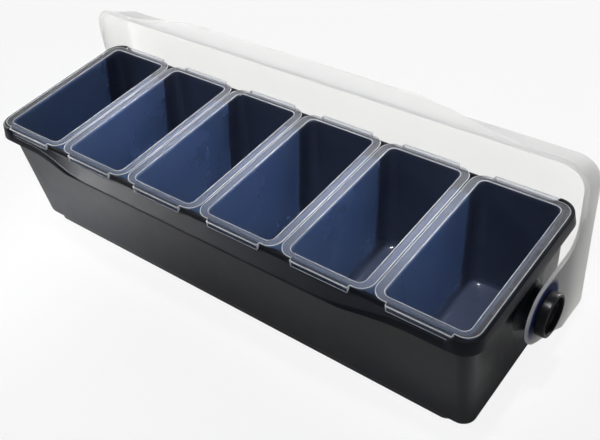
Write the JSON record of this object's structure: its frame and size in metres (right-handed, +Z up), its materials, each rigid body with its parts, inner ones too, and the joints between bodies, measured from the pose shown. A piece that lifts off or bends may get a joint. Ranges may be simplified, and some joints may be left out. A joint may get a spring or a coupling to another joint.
{
  "type": "condiment caddy with flip lid",
  "caption": "Long countertop condiment caddy: black tray with lift-out translucent inserts under one hinged frosted lid, shown open.",
  "frame": {"origin": "centre of the foot's underside, on the table", "axes": "+X along the length of the tray, +Y to the back where the lid swings, +Z up"},
  "size_m": [0.5118, 0.1839, 0.1674],
  "materials": {
    "tray": "black injection-moulded polypropylene with a satin gloss",
    "knob": "black moulded nylon, satin",
    "lid": "frosted natural plastic, translucent at the thin edges",
    "insert": "clear, faintly milky plastic with polished rims"
  },
  "bodies": {
    "tray": {"base": "tray", "hinge_knob_left": "knob", "hinge_knob_right": "knob"},
    "lid": {"lid": "lid"},
    "insert_1": {"insert_1": "insert"},
    "insert_2": {"insert_2": "insert"},
    "insert_3": {"insert_3": "insert"},
    "insert_4": {"insert_4": "insert"},
    "insert_5": {"insert_5": "insert"},
    "insert_6": {"insert_6": "insert"}
  },
  "joints": [
    {"name": "lid_hinge", "type": "hinge", "parent": "tray", "child": "lid", "pos_m": [0, 0.011, 0.064], "axis": [-1, 0, 0], "range_deg": [-95, 0]},
    {"name": "insert_1_lift", "type": "slide", "parent": "tray", "child": "insert_1", "axis": [0, -0.2079, 0.9781], "range_m": [0, 0.1]},
    {"name": "insert_2_lift", "type": "slide", "parent": "tray", "child": "insert_2", "axis": [0, -0.2079, 0.9781], "range_m": [0, 0.1]},
    {"name": "insert_3_lift", "type": "slide", "parent": "tray", "child": "insert_3", "axis": [0, -0.2079, 0.9781], "range_m": [0, 0.1]},
    {"name": "insert_4_lift", "type": "slide", "parent": "tray", "child": "insert_4", "axis": [0, -0.2079, 0.9781], "range_m": [0, 0.1]},
    {"name": "insert_5_lift", "type": "slide", "parent": "tray", "child": "insert_5", "axis": [0, -0.2079, 0.9781], "range_m": [0, 0.1]},
    {"name": "insert_6_lift", "type": "slide", "parent": "tray", "child": "insert_6", "axis": [0, -0.2079, 0.9781], "range_m": [0, 0.1]}
  ]
}
